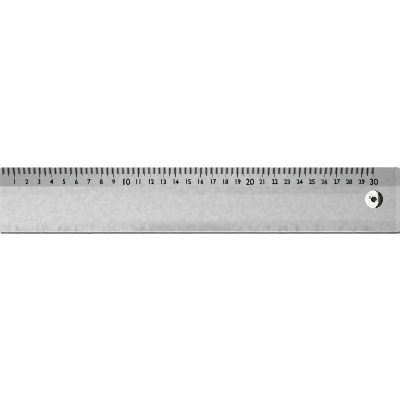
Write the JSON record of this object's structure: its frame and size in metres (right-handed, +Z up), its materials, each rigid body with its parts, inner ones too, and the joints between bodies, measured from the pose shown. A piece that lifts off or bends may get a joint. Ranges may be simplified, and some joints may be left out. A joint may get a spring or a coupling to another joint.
{
  "type": "metal ruler",
  "caption": "Metal ruler with a bevelled graduated edge, a shallow facet along its other edge, and a domed eyelet lining its hanging hole.",
  "frame": {"origin": "middle of the blade's underside", "axes": "+X along the scale towards the higher figures, +Y towards the graduated edge, +Z up out of the graduated face"},
  "size_m": [0.323, 0.052, 0.0054],
  "materials": {
    "blade_aluminium": "satin, natural anodised, with fine lengthwise grain",
    "scale_ink": "matt black screen-printed ink",
    "eyelet_nickel": "polished nickel plate"
  },
  "bodies": {
    "root": {"blade": "blade_aluminium", "centimetre_lines": "scale_ink", "half_centimetre_lines": "scale_ink", "millimetre_lines": "scale_ink", "scale_numbers": "scale_ink", "hanging_eyelet": "eyelet_nickel"}
  },
  "joints": []
}
